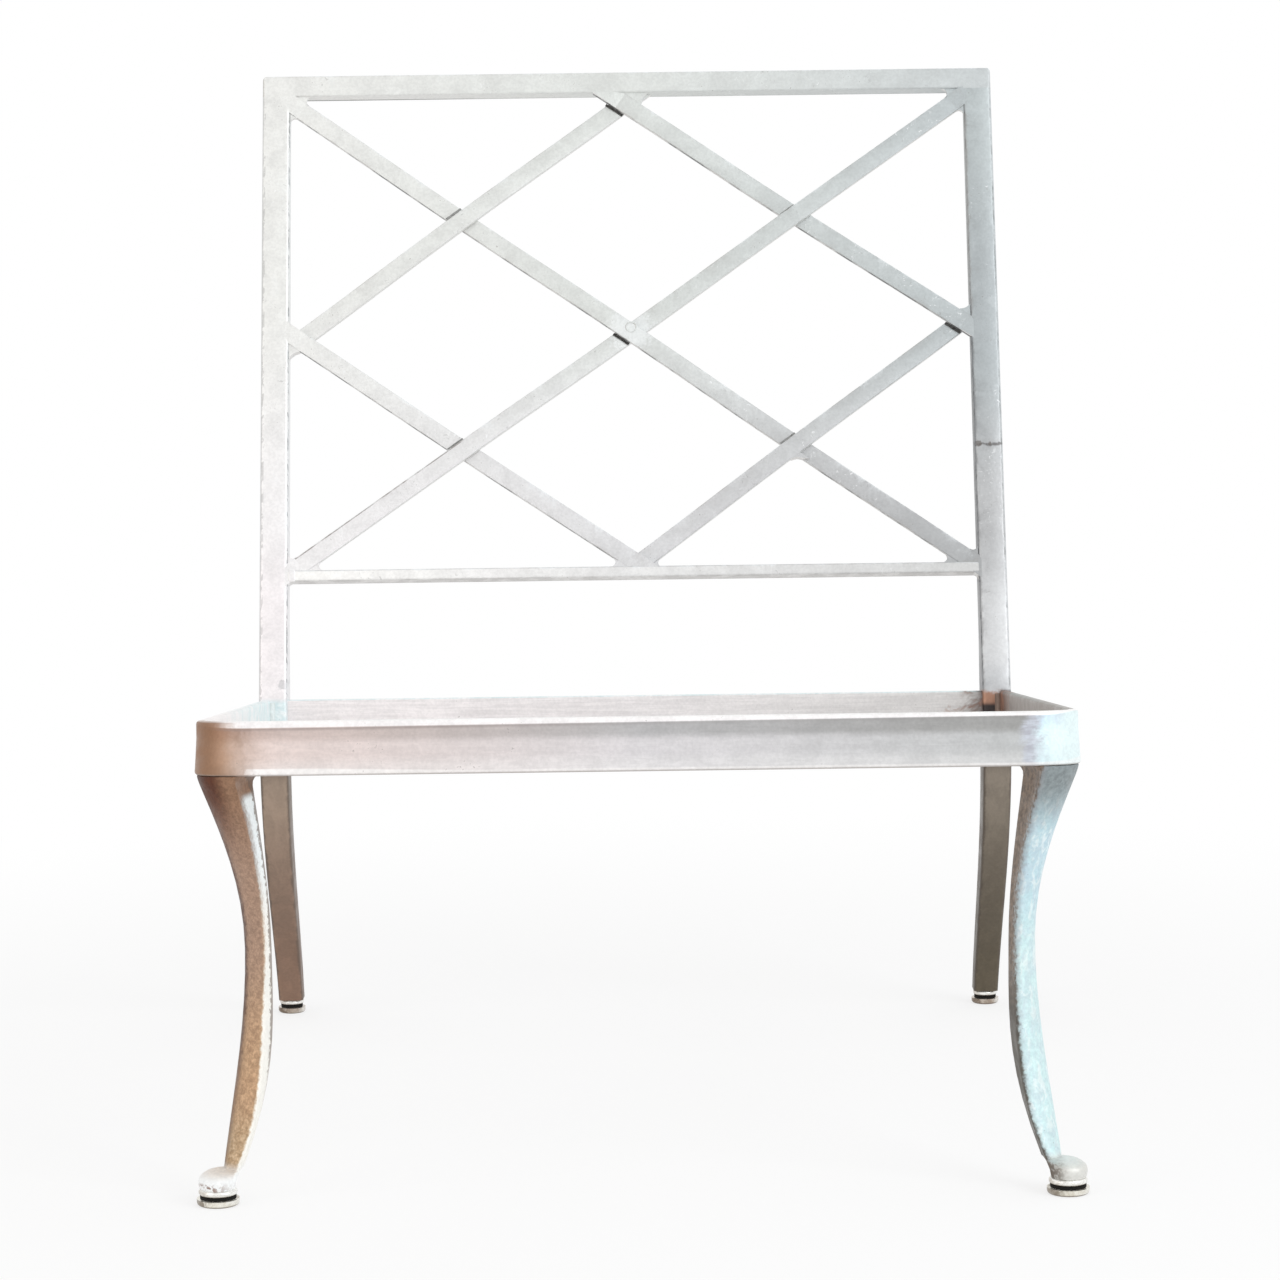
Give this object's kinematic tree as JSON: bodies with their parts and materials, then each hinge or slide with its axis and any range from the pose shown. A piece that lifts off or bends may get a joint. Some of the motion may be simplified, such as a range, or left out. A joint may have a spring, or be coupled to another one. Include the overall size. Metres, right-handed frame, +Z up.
{
  "type": "outdoor lounge chair",
  "caption": "Armless outdoor lounge chair frame of cast aluminium, with a woven lattice back, cabriole front legs and swept rear legs on cushioned glides.",
  "frame": {"origin": "on the floor, under the middle of the whole frame", "axes": "+X to the right when the chair is seen from the front, +Y from front to back, +Z up"},
  "size_m": [0.667, 0.7912, 0.8499],
  "materials": {
    "cast_aluminium": "cast and hand-finished aluminium, silver grey, fine grain, satin",
    "weld_bead": "welded and ground aluminium, satin",
    "glide_cup": "nickel-plated steel, worn gloss",
    "glide_steel": "plated steel, satin",
    "glide_rubber": "black rubber, matt"
  },
  "bodies": {
    "root": {"seat_front_rail": "cast_aluminium", "seat_left_rail": "cast_aluminium", "seat_right_rail": "cast_aluminium", "seat_rear_rail": "cast_aluminium", "left_back_post": "cast_aluminium", "right_back_post": "cast_aluminium", "back_top_rail": "cast_aluminium", "back_lower_rail": "cast_aluminium", "long_bar_falling": "cast_aluminium", "long_bar_rising": "cast_aluminium", "short_bar_upper_left": "cast_aluminium", "short_bar_upper_right": "cast_aluminium", "short_bar_lower_left": "cast_aluminium", "short_bar_lower_right": "cast_aluminium", "front_left_leg": "cast_aluminium", "front_right_leg": "cast_aluminium", "lattice_welds": "weld_bead", "lower_rail_welds": "weld_bead", "seat_frame_welds": "weld_bead", "front_left_cup": "glide_cup", "front_right_cup": "glide_cup", "rear_left_cup": "glide_cup", "rear_right_cup": "glide_cup", "front_left_cushion": "glide_rubber", "front_right_cushion": "glide_rubber", "rear_left_cushion": "glide_rubber", "rear_right_cushion": "glide_rubber", "front_left_washer": "glide_steel", "front_right_washer": "glide_steel", "rear_left_washer": "glide_steel", "rear_right_washer": "glide_steel", "front_left_screw": "glide_steel", "front_right_screw": "glide_steel", "rear_left_screw": "glide_steel", "rear_right_screw": "glide_steel"}
  },
  "joints": []
}
